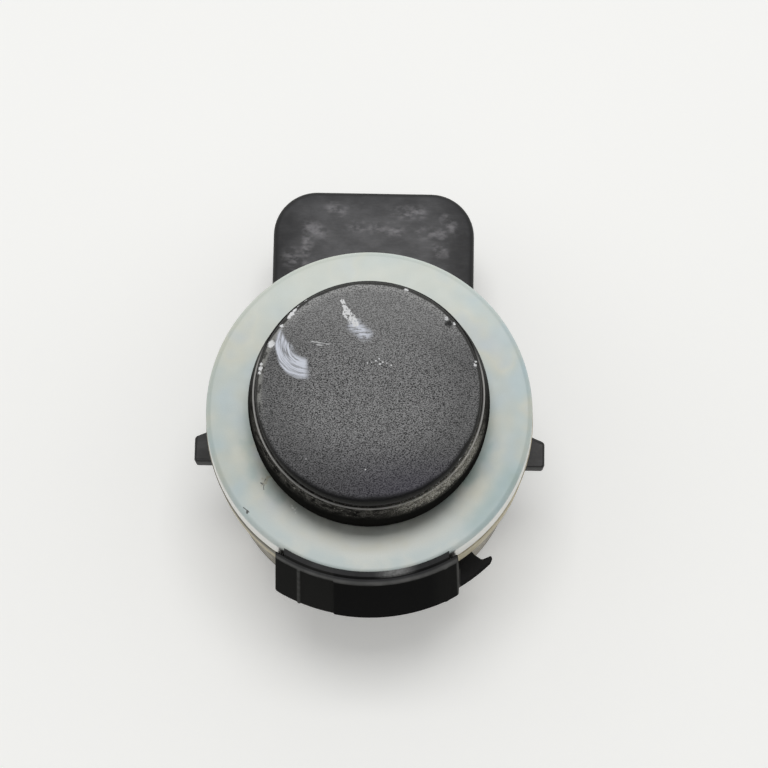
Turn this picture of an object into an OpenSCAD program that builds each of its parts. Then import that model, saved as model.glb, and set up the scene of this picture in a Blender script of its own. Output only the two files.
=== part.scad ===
// Ultrasonic parking sensor, standing on its potted rear with the membrane up.
// Millimetres. The Z axis is the membrane's axis and z = 0 is the rear face.
// The connector is at +Y and the front clip is at -Y.

/* [Membrane cup] */
// Radius of the cup's head, which carries the painted face
head_r = 7.05; // [6.9:0.05:7.1]
// How far the face stands out of the ring's front
head_reach = 7.3; // [6.5:0.1:9]
// Thickness of the head, down to the shoulder that holds the sleeve
head_t = 0.9; // [0.8:0.05:1.2]
// Radius that rounds the edge of the face
face_edge_r = 0.8; // [0.3:0.05:0.8]
// Radius of the cup's body inside the sleeve
cup_r = 6.7; // [6.4:0.05:6.85]
// Length of the cup, from its face to its open rim
cup_l = 9.8; // [8.8:0.1:11]
// Wall of the cup
cup_wall = 1.1; // [0.8:0.05:1.3]
// Thickness of the membrane
membrane_t = 0.7; // [0.5:0.05:1]
// Depth of the chamber behind the membrane
chamber_d = 4; // [3:0.1:5]
// Length of the chamber across X
chamber_l = 10.4; // [9.6:0.1:10.8]
// Width of the chamber across Y
chamber_w = 8.4; // [7.6:0.1:9.5]

/* [Transducer] */
// Radius of the piezo disc
piezo_r = 3.4; // [2.5:0.1:3.6]
// Thickness of the piezo disc
piezo_t = 0.4; // [0.2:0.05:0.8]
// Thickness of the damping plug
plug_t = 4.4; // [3:0.1:4.5]
// Radius of a lead wire
lead_r = 0.2; // [0.1:0.05:0.3]
// Distance of the live lead from the axis
live_x = 1.6; // [1:0.1:2.2]
// Distance of the ground lead from the axis
ground_x = 4.2; // [4.1:0.1:4.4]

/* [Decoupling sleeve] */
// Radius of the skirt that stands out of the ring
skirt_r = 7.7; // [7.6:0.05:8.2]
// Height of the skirt's straight wall, from its base to where it tapers
skirt_wall_h = 2.1; // [1:0.1:3]
// How much smaller the skirt's radius is at its top
skirt_taper = 0.38; // [0:0.02:0.4]
// Clear gap between the ring's front and the skirt
skirt_gap = 1.15; // [0.5:0.05:2]
// Width of the chamfer on the skirt's upper edge
skirt_chamfer_w = 0.3; // [0.1:0.05:0.35]
// Height of the chamfer on the skirt's upper edge
skirt_chamfer_h = 0.7; // [0.3:0.1:1.5]
// Radius of the neck inside the ring
neck_r = 7.4; // [7.2:0.05:7.5]
// Radius of the sleeve below its flange
sleeve_foot_r = 8.3; // [7.8:0.05:8.8]
// Thickness of the sleeve's floor under the cup
sleeve_floor_t = 1.4; // [0.8:0.1:2]
// Radius of the passage for the leads
passage_r = 5; // [4.8:0.1:5.3]

/* [Steel ring] */
// Radius of the ring at its shoulder
ring_r = 10.6; // [10.4:0.05:11]
// How much the ring's wall flares outwards to its lower edge
ring_flare = 0.16; // [0:0.02:0.3]
// Height of the ring
ring_h = 3; // [2.4:0.1:3.6]
// Thickness of the ring's sheet
ring_t = 1; // [0.7:0.05:1.3]
// Outer radius of the bend at the shoulder
ring_bend_r = 0.2; // [0.1:0.05:0.4]

/* [Seal ring] */
// Radius of the seal ring
seal_r = 10.8; // [10.4:0.05:11]
// Height of the seal ring
seal_h = 4.4; // [3.6:0.1:5.2]

/* [Housing] */
// Radius of the barrel
body_r = 10.45; // [10.2:0.05:10.7]
// Height of the barrel, from its rear to its front deck
body_h = 13.6; // [13:0.1:16]
// Wall of the barrel
body_wall = 1.3; // [1:0.05:1.6]
// Thickness of the front deck
deck_t = 1.4; // [1:0.1:1.8]
// Width of the ledge that the circuit board lies against
ledge_w = 0.75; // [0.5:0.05:1]

/* [Side lugs] */
// Distance of a lug's tip from the axis
lug_tip_x = 11.88; // [11.4:0.05:12.6]
// Width of a lug along Y, at its root in the barrel
lug_w = 2.55; // [1.8:0.05:3]
// How much narrower a lug is at its tip, on its far side
lug_taper = 0.85; // [0:0.05:1.2]
// Distance of the lugs' middle from the axis, towards the clip
lug_offset = 1.1; // [0:0.1:2.5]
// Height of a lug
lug_h = 2; // [1.5:0.1:3]
// Distance of the lugs' upper edge below the ring's front
lug_drop = 7.6; // [7.5:0.1:9]
// Slope cut from the outer upper edge of a lug
lug_bevel = 0.25; // [0.1:0.05:0.6]

/* [Front clip] */
// Width of the clip across X, at its top
clip_w = 11.7; // [10:0.1:12.4]
// How much further each side of the clip reaches at its foot
clip_spread = 0.4; // [0:0.05:0.8]
// Height of the clip, down from the ring's front
clip_h = 10; // [8.5:0.1:11]
// Radius of the clip's outer face at its top
clip_top_r = 11.36; // [11.3:0.02:11.7]
// Radius of the clip's outer face at its foot
clip_foot_r = 12.6; // [12:0.05:13.4]
// Width of the lip that hooks over the ring
lip_w = 10.6; // [8:0.1:11]
// How far the lip reaches in over the ring's shoulder
lip_reach = 0.13; // [0.05:0.01:0.16]
// How far the lip stands above the ring's front
lip_rise = 0.16; // [0.1:0.02:0.3]
// Radius that rounds the clip's outer edges
clip_edge_r = 0.12; // [0.05:0.01:0.16]
// How far the lip's root reaches down the clip's inside
lip_root = 1; // [0.6:0.05:1.5]
// Clear gap between the lip and the ring
lip_gap = 0.04; // [0.02:0.01:0.08]
// Width of the groove between the lip and the clip's top edge
groove_w = 0.12; // [0.08:0.01:0.2]
// Depth of that groove
groove_d = 0.1; // [0.05:0.01:0.2]
// Bevel on the clip's lower corners
clip_corner = 0.4; // [0.1:0.05:0.8]
// Place of the bead on the clip's outer face, at its top
bead_x = -4.35; // [-5.2:0.05:-3.4]
// Width of the bead
bead_w = 0.24; // [0.2:0.02:0.5]
// How far the bead stands proud
bead_rise = 0.06; // [0.04:0.01:0.2]
// Place of the step on the clip's outer face, at its top
step_x = -2.1; // [-3:0.05:2]
// Depth of the step
step_d = 0.08; // [0.04:0.01:0.2]

/* [Barb] */
// Radius of the barb's outer face
barb_r = 12; // [11.6:0.05:12.4]
// Radius of the notch behind the barb's tip
barb_notch_r = 11.5; // [11:0.05:11.6]
// Angle at which the barb's block begins, inside the clip
barb_start_deg = -62; // [-66:0.5:-58]
// Angle of the barb's tip
barb_tip_deg = -44.5; // [-47:0.5:-40]
// Angle at which the barb's block ends
barb_block_deg = -48; // [-52:0.5:-47]
// Height of the barb
barb_h = 2.7; // [2:0.1:3.4]
// Distance of the barb's upper face below the ring's front
barb_drop = 9.6; // [9:0.1:10.5]

/* [Connector] */
// Width of the connector shroud across X
shroud_w = 14.05; // [13.4:0.05:16]
// Distance of the shroud's far side from the axis
shroud_reach = 17.3; // [17:0.05:19]
// Height of the shroud
shroud_h = 11; // [10.6:0.1:11.6]
// Radius of the shroud's far corners
shroud_corner_r = 3.05; // [2.2:0.05:3.6]
// Radius that rounds the shroud's upper edge
shroud_edge_r = 0.7; // [0.3:0.05:1]
// Wall of the shroud
shroud_wall = 1.2; // [0.9:0.05:1.4]
// Depth of the socket, from its mouth
socket_d = 8.6; // [8:0.1:8.8]
// Plastic between the socket and the barrel's outside
socket_back = 0.5; // [0.3:0.05:0.8]
// Radius of the socket's corners
socket_corner_r = 1.6; // [1:0.05:2]
// Distance of a key rib from the middle of the socket
key_x = 2.6; // [2:0.1:3.4]
// Width of a key rib
key_w = 0.8; // [0.5:0.05:1]
// Height of a key rib
key_h = 0.7; // [0.4:0.05:0.8]
// Distance of a key rib's end from the socket's mouth
key_setback = 0.8; // [0.4:0.1:2]
// Width of the catch for the plug's latch
catch_w = 4.4; // [3:0.1:6]
// How far the catch stands out
catch_rise = 0.75; // [0.4:0.05:1]
// Height of the catch's lower edge above the mouth
catch_z = 3.2; // [2:0.1:5]
// Length of the catch along the shroud
catch_l = 2.6; // [2:0.1:4]

/* [Terminals] */
// Thickness of a terminal, which is square
pin_t = 0.64; // [0.5:0.02:0.8]
// Distance between two terminals
pin_pitch = 3.2; // [2.5:0.1:3.6]
// Distance of the terminals' tips from the mouth
pin_setback = 4.6; // [3.5:0.1:5.5]
// Distance of the terminals in the socket from the axis
pin_y = 13.5; // [12.5:0.1:14.4]
// Distance of the terminals' board legs from the axis
pin_leg_y = 6.9; // [6.4:0.1:7]
// Plastic between the socket's floor and the terminals' cross runs
pin_cover = 0.7; // [0.5:0.05:1]
// How far the legs stick out below the board
pin_stub = 0.6; // [0.3:0.1:1.2]

/* [Circuit board] */
// Height of the board's upper face above the rear
board_z = 7; // [6.6:0.1:7.4]
// Thickness of the board
board_t = 1; // [0.8:0.1:1.6]
// Radius of the transformer's flanges
core_r = 2.6; // [2:0.1:2.8]
// Height of the transformer
core_h = 3.2; // [2.4:0.1:3.6]
// Thickness of the transformer's flanges
core_flange_t = 0.6; // [0.4:0.05:0.8]
// Radius of the transformer's post
core_post_r = 1.2; // [0.8:0.05:1.5]
// Width of the winding on the post
winding_w = 1; // [0.5:0.05:1.1]
// Side of the driver chip
chip_w = 5; // [4:0.1:5.6]
// Thickness of the driver chip
chip_t = 0.9; // [0.7:0.05:1.2]
// Length, width and height of the storage capacitor
storage_size = [2.5, 3.2, 2.4]; // [0.5:0.1:4]
// Length, width and height of the protection diode
diode_size = [1.6, 2.6, 1.1]; // [0.5:0.1:4]
// Length, width and height of a ceramic capacitor
ceramic_size = [0.8, 1.6, 0.8]; // [0.3:0.1:2]
// Length, width and height of a resistor
resistor_size = [0.5, 1, 0.35]; // [0.2:0.05:1.6]
// Number of ceramic capacitors
ceramic_count = 3; // [1:1:3]
// Number of resistors
resistor_count = 4; // [1:1:4]
// Clear gap between two small parts in a row
part_gap = 0.8; // [0.6:0.05:0.9]

/* [Potting] */
// Thickness of the potting at the rear
potting_t = 3.6; // [2.5:0.1:3.9]

/* [Hidden] */
$fn = 96;
// Facets round a wire or a hole for one
wire_fn = 24;

// Clearances: round pieces that fit together, and holes round wires and legs
fit = 0.05;
ring_fit = 0.1;
clip_fit = 0.08;
hole_fit = 0.08;
// Overrun of a cut past the face that it opens
over = 1;

// Levels along the axis, from the rear
ring_z = body_h + seal_h + ring_h;
face_z = ring_z + head_reach;
head_z = face_z - head_t;
cup_rim_z = face_z - cup_l;
chamber_z = face_z - membrane_t;
plug_z = chamber_z - chamber_d - plug_t;
piezo_z = chamber_z - piezo_t;
sleeve_foot_z = cup_rim_z - sleeve_floor_t;
skirt_z = ring_z + skirt_gap;
flange_z = ring_z - ring_h;
clip_foot_z = ring_z - clip_h;
clip_top_z = ring_z + lip_rise - clip_edge_r;
seal_z = body_h;
cavity_z = body_h - deck_t;
board_under_z = board_z - board_t;

// Radii that follow from the pieces they fit
sleeve_bore_r = cup_r + fit;
skirt_top_r = skirt_r - skirt_taper;
ring_bore_r = neck_r + ring_fit;
ring_wall_r = ring_r - ring_t;
flange_r = ring_wall_r - ring_fit;
seal_bore_r = sleeve_foot_r + ring_fit;
cup_bore_r = cup_r - cup_wall;
cavity_r = body_r - body_wall;
ledge_r = cavity_r - ledge_w;
clip_bore_r = max(seal_r, ring_r + ring_flare) + clip_fit;
// Middle of the barrel's wall, where the lugs, the clip and the barb are rooted
root_r = cavity_r + body_wall / 2;

// Connector levels and middles
pin_run_z = socket_d + pin_cover;
pin_top_z = pin_run_z + pin_t;
socket_near_y = body_r + socket_back;
socket_far_y = shroud_reach - shroud_wall;
socket_w = shroud_w - 2 * shroud_wall;

// Middles of the parts on the board, as shares of the cavity's radius
core_at = [0, -0.5] * cavity_r;
storage_at = [0.57, 0] * cavity_r;
diode_at = [-0.55, 0.33] * cavity_r;
ceramic_at = [-0.55, 0] * cavity_r;
resistor_at = [0.5, 0] * cavity_r;

// Points of an arc about [x, y] from angle a0 to a1
function arc(x, y, r, a0, a1, n = 8) =
    [for (i = [0:n]) let (a = a0 + (a1 - a0) * i / n) [x + r * cos(a), y + r * sin(a)]];
function polar(r, a) = [r * cos(a), r * sin(a)];

module tube(r, bore, z0, z1) {
    translate([0, 0, z0])
        difference() {
            cylinder(r = r, h = z1 - z0);
            translate([0, 0, -over])
                cylinder(r = bore, h = z1 - z0 + 2 * over);
        }
}

module block(size, at, z) {
    translate([at[0] - size[0] / 2, at[1] - size[1] / 2, z])
        cube(size);
}

// Aluminium cup: a rounded head with the face, and a body that the sleeve holds
module membrane_cup() {
    outline = concat(
        [[0, cup_rim_z], [cup_r, cup_rim_z], [cup_r, head_z], [head_r, head_z]],
        arc(head_r - face_edge_r, face_z - face_edge_r, face_edge_r, 0, 90),
        [[0, face_z]]
    );
    color("#57585a")
        difference() {
            rotate_extrude()
                polygon(outline);
            translate([0, 0, cup_rim_z - over])
                cylinder(r = cup_bore_r, h = chamber_z - chamber_d - cup_rim_z + over);
            translate([0, 0, cup_rim_z])
                linear_extrude(chamber_z - cup_rim_z)
                    intersection() {
                        circle(d = chamber_l);
                        square([chamber_l + over, chamber_w], center = true);
                    }
        }
}

// Rubber sleeve: a tapered and chamfered skirt, a neck through the ring, a flange under it
// and a floor under the cup
module decoupling_sleeve() {
    color("#1c1c1d")
        rotate_extrude()
            polygon([
                [sleeve_bore_r, head_z],
                [skirt_top_r - skirt_chamfer_w, head_z],
                [skirt_top_r, head_z - skirt_chamfer_h],
                [skirt_r, skirt_z + skirt_wall_h],
                [skirt_r, skirt_z],
                [neck_r, skirt_z],
                [neck_r, ring_z - ring_t],
                [flange_r, ring_z - ring_t],
                [flange_r, flange_z],
                [sleeve_foot_r, flange_z],
                [sleeve_foot_r, sleeve_foot_z],
                [passage_r, sleeve_foot_z],
                [passage_r, cup_rim_z],
                [sleeve_bore_r, cup_rim_z]
            ]);
}

// Zinc-plated ring drawn from sheet: a flat front and a wall that flares a little
module steel_ring() {
    color("#c3cac6")
        rotate_extrude()
            polygon(concat(
                [[ring_bore_r, ring_z]],
                arc(ring_r - ring_bend_r, ring_z - ring_bend_r, ring_bend_r, 90, 0),
                [
                    [ring_r + ring_flare, flange_z],
                    [ring_wall_r, flange_z],
                    [ring_wall_r, ring_z - ring_t],
                    [ring_bore_r, ring_z - ring_t]
                ]
            ));
}

module seal_ring() {
    color("#c9bd9a")
        tube(seal_r, seal_bore_r, seal_z, flange_z);
}

module piezo_disc() {
    color("#b9a77a")
        translate([0, 0, piezo_z])
            cylinder(r = piezo_r, h = piezo_t);
}

module damping_plug() {
    color("#8d8f91")
        difference() {
            translate([0, 0, plug_z])
                cylinder(r = cup_bore_r - fit, h = plug_t);
            for (x = [live_x, -ground_x])
                translate([x, 0, plug_z - over])
                    cylinder(r = lead_r + hole_fit, h = plug_t + 2 * over, $fn = wire_fn);
        }
}

// Wire that stands on the board and reaches up to the given level
module lead(x, top_z) {
    translate([x, 0, board_z])
        cylinder(r = lead_r, h = top_z - board_z, $fn = wire_fn);
}

module lead_live() {
    color("#b3202a")
        lead(live_x, piezo_z);
}

module lead_ground() {
    color("#2a2a2c")
        lead(-ground_x, chamber_z);
}

// Section of the clip's wall: a root in the barrel's wall and a tapered arm.
// inset moves the outer face in by that much.
module clip_wall_section(inset = 0) {
    polygon(concat(
        [[root_r, clip_foot_z]],
        arc(clip_foot_r - inset - clip_edge_r, clip_foot_z + clip_edge_r, clip_edge_r, -90, 0, 4),
        arc(clip_top_r - inset - clip_edge_r, clip_top_z - clip_edge_r, clip_edge_r, 0, 90, 4),
        [
            [clip_bore_r + groove_w / 2, clip_top_z],
            [clip_bore_r, ring_z - lip_rise],
            [clip_bore_r, body_h],
            [root_r, body_h]
        ]
    ));
}

// Section of the lip: it rises from the arm and hooks over the ring's shoulder
module lip_section() {
    polygon([
        [clip_bore_r + groove_w / 2, clip_top_z - groove_d],
        [clip_bore_r + groove_w / 2, ring_z - lip_root],
        [clip_bore_r, ring_z - lip_root],
        [ring_r + ring_flare + lip_gap / 2, ring_z - 2 * ring_bend_r],
        [ring_r + lip_gap, ring_z - ring_bend_r / 2],
        [ring_r - lip_reach, ring_z + lip_gap],
        [ring_r - lip_reach, ring_z + lip_rise],
        [clip_bore_r - groove_w, ring_z + lip_rise]
    ]);
}

// Slice of the clip's side from x0 to x1 at the top. Its edges lean outwards to the foot as the clip's own
// sides do, and its lower corners may be bevelled.
module clip_slice(x0, x1, bevel = 0) {
    lean = 1 + 2 * clip_spread / clip_w;
    top_z = ring_z + over;
    rotate([90, 0, 0])
        linear_extrude(clip_foot_r + over)
            polygon([
                [x0 * lean + bevel, clip_foot_z], [x1 * lean - bevel, clip_foot_z],
                [x1 * lean, clip_foot_z + bevel],
                [x1, ring_z], [x1, top_z], [x0, top_z], [x0, ring_z],
                [x0 * lean, clip_foot_z + bevel]
            ]);
}

// Front clip: the main wall, a stretch set back beyond the step, a bead and the lip
module front_clip() {
    half = clip_w / 2;
    intersection() {
        clip_slice(-half, half, clip_corner);
        union() {
            intersection() {
                rotate_extrude()
                    clip_wall_section(step_d);
                clip_slice(-half, half);
            }
            intersection() {
                rotate_extrude()
                    clip_wall_section();
                clip_slice(step_x, half);
            }
            intersection() {
                rotate_extrude()
                    clip_wall_section(step_d - bead_rise);
                clip_slice(bead_x - bead_w / 2, bead_x + bead_w / 2);
            }
        }
    }
    intersection() {
        rotate_extrude()
            lip_section();
        clip_slice(-lip_w / 2, lip_w / 2);
    }
}

// Lug on the side given by the sign: its far face slants in plan and its outer upper edge slopes
module side_lug(side) {
    top_z = ring_z - lug_drop;
    far_y = -lug_offset + lug_w / 2;
    intersection() {
        translate([0, 0, top_z - lug_h])
            linear_extrude(lug_h)
                polygon([
                    [side * root_r, far_y - lug_w],
                    [side * lug_tip_x, far_y - lug_w],
                    [side * lug_tip_x, far_y - lug_taper],
                    [side * root_r, far_y]
                ]);
        translate([0, far_y + over, 0])
            rotate([90, 0, 0])
                linear_extrude(lug_w + 2 * over)
                    polygon([
                        [side * root_r, top_z - lug_h],
                        [side * lug_tip_x, top_z - lug_h],
                        [side * lug_tip_x, top_z - lug_bevel],
                        [side * (lug_tip_x - lug_bevel), top_z],
                        [side * root_r, top_z]
                    ]);
    }
}

// Barb beside the clip: a block on the barrel whose outer edge runs on into a pointed tip
module barb() {
    translate([0, 0, ring_z - barb_drop - barb_h])
        linear_extrude(barb_h)
            intersection() {
                circle(r = barb_r);
                polygon([
                    polar(root_r, barb_start_deg),
                    polar(barb_r + over, barb_start_deg),
                    polar(barb_r + over, barb_tip_deg),
                    polar((barb_r + barb_notch_r) / 2, barb_tip_deg),
                    polar(barb_notch_r, barb_block_deg),
                    polar(root_r, barb_block_deg)
                ]);
            }
}

// Outside of the connector shroud: far corners and upper edge rounded
module shroud_block() {
    half = shroud_w / 2;
    corner_x = half - shroud_corner_r;
    corner_y = shroud_reach - shroud_corner_r;
    rounding = shroud_edge_r;
    for (side = [-1, 1])
        translate([side * corner_x, corner_y, 0])
            rotate_extrude()
                polygon(concat(
                    [[0, 0], [shroud_corner_r, 0]],
                    arc(shroud_corner_r - rounding, shroud_h - rounding, rounding, 0, 90),
                    [[0, shroud_h]]
                ));
    translate([-corner_x, 0, 0])
        rotate([90, 0, 90])
            linear_extrude(2 * corner_x)
                polygon(concat(
                    [[0, 0], [shroud_reach, 0]],
                    arc(shroud_reach - rounding, shroud_h - rounding, rounding, 0, 90),
                    [[0, shroud_h]]
                ));
    translate([0, corner_y, 0])
        rotate([90, 0, 0])
            linear_extrude(corner_y)
                polygon(concat(
                    [[-half, 0], [half, 0]],
                    arc(half - rounding, shroud_h - rounding, rounding, 0, 90),
                    arc(rounding - half, shroud_h - rounding, rounding, 90, 180)
                ));
}

// Ramp on the shroud's far side that the plug's latch snaps over
module latch_catch() {
    translate([-catch_w / 2, 0, 0])
        rotate([90, 0, 90])
            linear_extrude(catch_w)
                polygon([
                    [shroud_reach - shroud_wall / 2, catch_z],
                    [shroud_reach, catch_z],
                    [shroud_reach + catch_rise, catch_z + catch_l - catch_rise / 2],
                    [shroud_reach + catch_rise, catch_z + catch_l],
                    [shroud_reach - shroud_wall / 2, catch_z + catch_l]
                ]);
}

// Space inside the socket, with its two key ribs left standing
module socket_space() {
    corner_x = socket_w / 2 - socket_corner_r;
    difference() {
        translate([0, 0, -over])
            linear_extrude(socket_d + over)
                union() {
                    for (x = [-corner_x, corner_x])
                        for (y = [socket_near_y + socket_corner_r, socket_far_y - socket_corner_r])
                            translate([x, y])
                                circle(r = socket_corner_r);
                    translate([-corner_x, socket_near_y])
                        square([2 * corner_x, socket_far_y - socket_near_y]);
                    translate([-socket_w / 2, socket_near_y + socket_corner_r])
                        square([socket_w, socket_far_y - socket_near_y - 2 * socket_corner_r]);
                }
        for (x = [-key_x, key_x])
            translate([x - key_w / 2, socket_far_y - key_h, key_setback])
                cube([key_w, key_h + over, socket_d]);
    }
}

// Bent terminal: a pin in the socket, a run through the plastic and a leg through the board.
// foot_z is the leg's lower end.
module terminal_path(x, foot_z) {
    run_l = pin_y - pin_leg_y;
    translate([x - pin_t / 2, pin_y - pin_t / 2, pin_setback])
        cube([pin_t, pin_t, pin_top_z - pin_setback]);
    translate([x - pin_t / 2, pin_leg_y - pin_t / 2, pin_run_z])
        cube([pin_t, run_l + pin_t, pin_t]);
    translate([x - pin_t / 2, pin_leg_y - pin_t / 2, foot_z])
        cube([pin_t, pin_t, pin_top_z - foot_z]);
}

module terminal(x) {
    color("#c9c4b4")
        terminal_path(x, board_under_z - pin_stub);
}

module terminal_supply() { terminal(-pin_pitch); }
module terminal_signal() { terminal(0); }
module terminal_ground() { terminal(pin_pitch); }

// Black moulding: barrel, boss under the sleeve, shroud, lugs, clip and barb
module housing() {
    color("#3a3b3d")
        difference() {
            union() {
                cylinder(r = body_r, h = body_h);
                translate([0, 0, body_h - deck_t])
                    cylinder(r = sleeve_foot_r, h = sleeve_foot_z - body_h + deck_t);
                shroud_block();
                latch_catch();
                side_lug(-1);
                side_lug(1);
                front_clip();
                barb();
            }
            translate([0, 0, -over])
                cylinder(r = cavity_r, h = board_z + over);
            translate([0, 0, board_z - over])
                cylinder(r = ledge_r, h = cavity_z - board_z + over);
            translate([0, 0, cavity_z - over])
                cylinder(r = passage_r, h = sleeve_foot_z - cavity_z + 2 * over);
            socket_space();
            for (x = [-pin_pitch, 0, pin_pitch])
                terminal_path(x, board_z);
        }
}

module circuit_board() {
    color("#1f5a3a")
        difference() {
            translate([0, 0, board_under_z])
                cylinder(r = cavity_r - fit, h = board_t);
            for (x = [-pin_pitch, 0, pin_pitch])
                translate([x, pin_leg_y, board_under_z - over])
                    cylinder(r = pin_t / sqrt(2) + hole_fit, h = board_t + 2 * over, $fn = wire_fn);
        }
}

// Ferrite drum core standing on the board
module transformer_core() {
    color("#2f3033")
        translate([core_at[0], core_at[1], board_z]) {
            cylinder(r = core_r, h = core_flange_t);
            cylinder(r = core_post_r, h = core_h);
            translate([0, 0, core_h - core_flange_t])
                cylinder(r = core_r, h = core_flange_t);
        }
}

module transformer_winding() {
    color("#b5652e")
        translate([core_at[0], core_at[1], 0])
            tube(core_post_r + winding_w, core_post_r + fit,
                board_z + core_flange_t, board_z + core_h - core_flange_t);
}

module driver_chip() {
    color("#26272a")
        block([chip_w, chip_w, chip_t], [0, 0], board_under_z - chip_t);
}

module storage_capacitor() {
    color("#b98a2c")
        block(storage_size, storage_at, board_z);
}

module protection_diode() {
    color("#222326")
        block(diode_size, diode_at, board_z);
}

// Row of like parts under the board, along Y
module under_row(size, at, count) {
    for (i = [0:count - 1])
        block(size, [at[0], at[1] + (i - (count - 1) / 2) * (size[1] + part_gap)],
            board_under_z - size[2]);
}

module ceramic_capacitors() {
    color("#a98c62")
        under_row(ceramic_size, ceramic_at, ceramic_count);
}

module resistors() {
    color("#1e1f22")
        under_row(resistor_size, resistor_at, resistor_count);
}

module potting() {
    color("#1b1a19")
        cylinder(r = cavity_r - fit, h = potting_t);
}

housing();
seal_ring();
decoupling_sleeve();
membrane_cup();
steel_ring();
piezo_disc();
damping_plug();
lead_live();
lead_ground();
circuit_board();
transformer_core();
transformer_winding();
driver_chip();
storage_capacitor();
protection_diode();
ceramic_capacitors();
resistors();
terminal_supply();
terminal_signal();
terminal_ground();
potting();
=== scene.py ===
import math

import bmesh
import bpy
import numpy as np
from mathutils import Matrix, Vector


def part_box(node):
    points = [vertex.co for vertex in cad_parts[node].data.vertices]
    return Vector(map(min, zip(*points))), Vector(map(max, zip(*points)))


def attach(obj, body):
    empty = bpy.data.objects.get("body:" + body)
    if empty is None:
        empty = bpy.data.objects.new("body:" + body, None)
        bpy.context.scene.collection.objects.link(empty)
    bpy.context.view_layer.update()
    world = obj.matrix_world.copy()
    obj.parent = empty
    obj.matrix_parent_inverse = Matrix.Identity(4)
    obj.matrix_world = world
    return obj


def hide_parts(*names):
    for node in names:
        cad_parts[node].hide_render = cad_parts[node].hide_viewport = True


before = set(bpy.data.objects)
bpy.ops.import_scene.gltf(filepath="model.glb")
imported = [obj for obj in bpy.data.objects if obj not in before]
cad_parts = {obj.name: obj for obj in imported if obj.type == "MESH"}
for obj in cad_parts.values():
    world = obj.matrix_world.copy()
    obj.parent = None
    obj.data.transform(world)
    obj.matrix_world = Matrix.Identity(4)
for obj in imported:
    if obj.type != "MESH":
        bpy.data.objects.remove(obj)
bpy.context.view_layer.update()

# Housing: the black moulding that carries everything, shot in one piece from glass-filled nylon.
# The barrel, the plug's shroud, two side lugs, the clip that hooks over the ring and a small barb
# belong to it. The rear is left open until the board is in and the resin is poured.
mm = 0.001


def levels(node):
    """Lowest and highest z of a CAD node, in millimetres."""
    low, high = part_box(node)
    return low.z / mm, high.z / mm


ring_foot_z, ring_z = levels("steel_ring")
deck_z = levels("seal_ring")[0]
boss_z = levels("decoupling_sleeve")[0]
board_z = levels("circuit_board")[1]

barrel_r = 10.45
cavity_r = 9.15
ledge_r = 8.4
cavity_z = 12.2
passage_r = 5.0
boss_r = 8.3
rim_bevel = 0.2


def rounded(corners, radii, steps=6):
    """Closed outline whose corners are arcs. An arc touches both edges of its corner: its centre lies
    on the bisector at r / sin(half angle), and its points turn evenly from one edge to the other."""
    corner = np.array(corners, float)
    radius = np.broadcast_to(np.array(radii, float), len(corner))[:, None]
    back = np.roll(corner, 1, 0) - corner
    onward = np.roll(corner, -1, 0) - corner
    back /= np.linalg.norm(back, axis=1, keepdims=True)
    onward /= np.linalg.norm(onward, axis=1, keepdims=True)
    half = np.arccos(np.clip((back * onward).sum(1, keepdims=True), -1, 1)) / 2
    bisector = back + onward
    bisector /= np.maximum(np.linalg.norm(bisector, axis=1, keepdims=True), 1e-9)
    centre = corner + bisector * radius / np.sin(half)
    first = corner + back * radius / np.tan(half) - centre
    last = corner + onward * radius / np.tan(half) - centre
    turn = np.maximum(np.pi - 2 * half, 1e-6)[:, None]
    share = np.linspace(0, 1, steps + 1)[None, :, None]
    swing = np.sin((1 - share) * turn) * first[:, None] + np.sin(share * turn) * last[:, None]
    return (centre[:, None] + swing / np.sin(turn)).reshape(-1, 2)


def spin(profile, columns):
    """Surface of revolution about Z: x = r cos t, y = r sin t for each profile point (r, z)."""
    t = np.linspace(0, 2 * np.pi, columns, endpoint=False)
    r, z = profile[:, :1], profile[:, 1:]
    return np.stack(np.broadcast_arrays(r * np.cos(t), r * np.sin(t), z), axis=-1)


def outward(outline):
    """Unit normals of a closed counter-clockwise outline, from the chord between a point's neighbours."""
    chord = np.roll(outline, -1, 0) - np.roll(outline, 1, 0)
    normal = np.stack([chord[:, 1], -chord[:, 0]], axis=1)
    return normal / np.linalg.norm(normal, axis=1, keepdims=True)


def loops(outline, inset, level):
    """Closed plan outline repeated at each level, moved inwards along its normals by that level's inset."""
    plan = outline - outward(outline) * np.array(inset)[:, None, None]
    height = np.broadcast_to(np.array(level)[:, None, None], (*plan.shape[:2], 1))
    return np.concatenate([plan, height], axis=2)


def slab(outline, low, high, low_edge, high_edge, steps=5):
    """Plate with that plan outline. Both edges are quarter circles: at angle a the lower one is moved in by
    e (1 - sin a) at height e (1 - cos a), and the upper one mirrors it."""
    a = np.linspace(0, np.pi / 2, steps)
    inset = np.concatenate([low_edge * (1 - np.sin(a)), high_edge * (1 - np.cos(a))])
    level = np.concatenate([low + low_edge * (1 - np.cos(a)), high - high_edge * (1 - np.sin(a))])
    return loops(outline, inset, level)


def shell(name, grid, wrap_rows=False, caps=False):
    """Closed object from a grid of points in millimetres: a quad from each point to its neighbours, wrapped
    round its columns, and round its rows too or capped. Merging doubles closes seams and poles."""
    rows, columns = grid.shape[:2]
    index = np.arange(rows * columns).reshape(rows, columns)
    beside = np.roll(index, -1, 1)
    quads = np.stack([index, beside, np.roll(beside, -1, 0), np.roll(index, -1, 0)], axis=-1)
    if not wrap_rows:
        quads = quads[:-1]
    faces = quads.reshape(-1, 4).tolist()
    if caps:
        faces += [index[0].tolist(), index[-1].tolist()]
    mesh = bpy.data.meshes.new(name)
    mesh.from_pydata((grid.reshape(-1, 3) * mm).tolist(), [], faces)
    tidy_mesh(mesh)
    piece = bpy.data.objects.new(name, mesh)
    bpy.context.scene.collection.objects.link(piece)
    return piece


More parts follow.
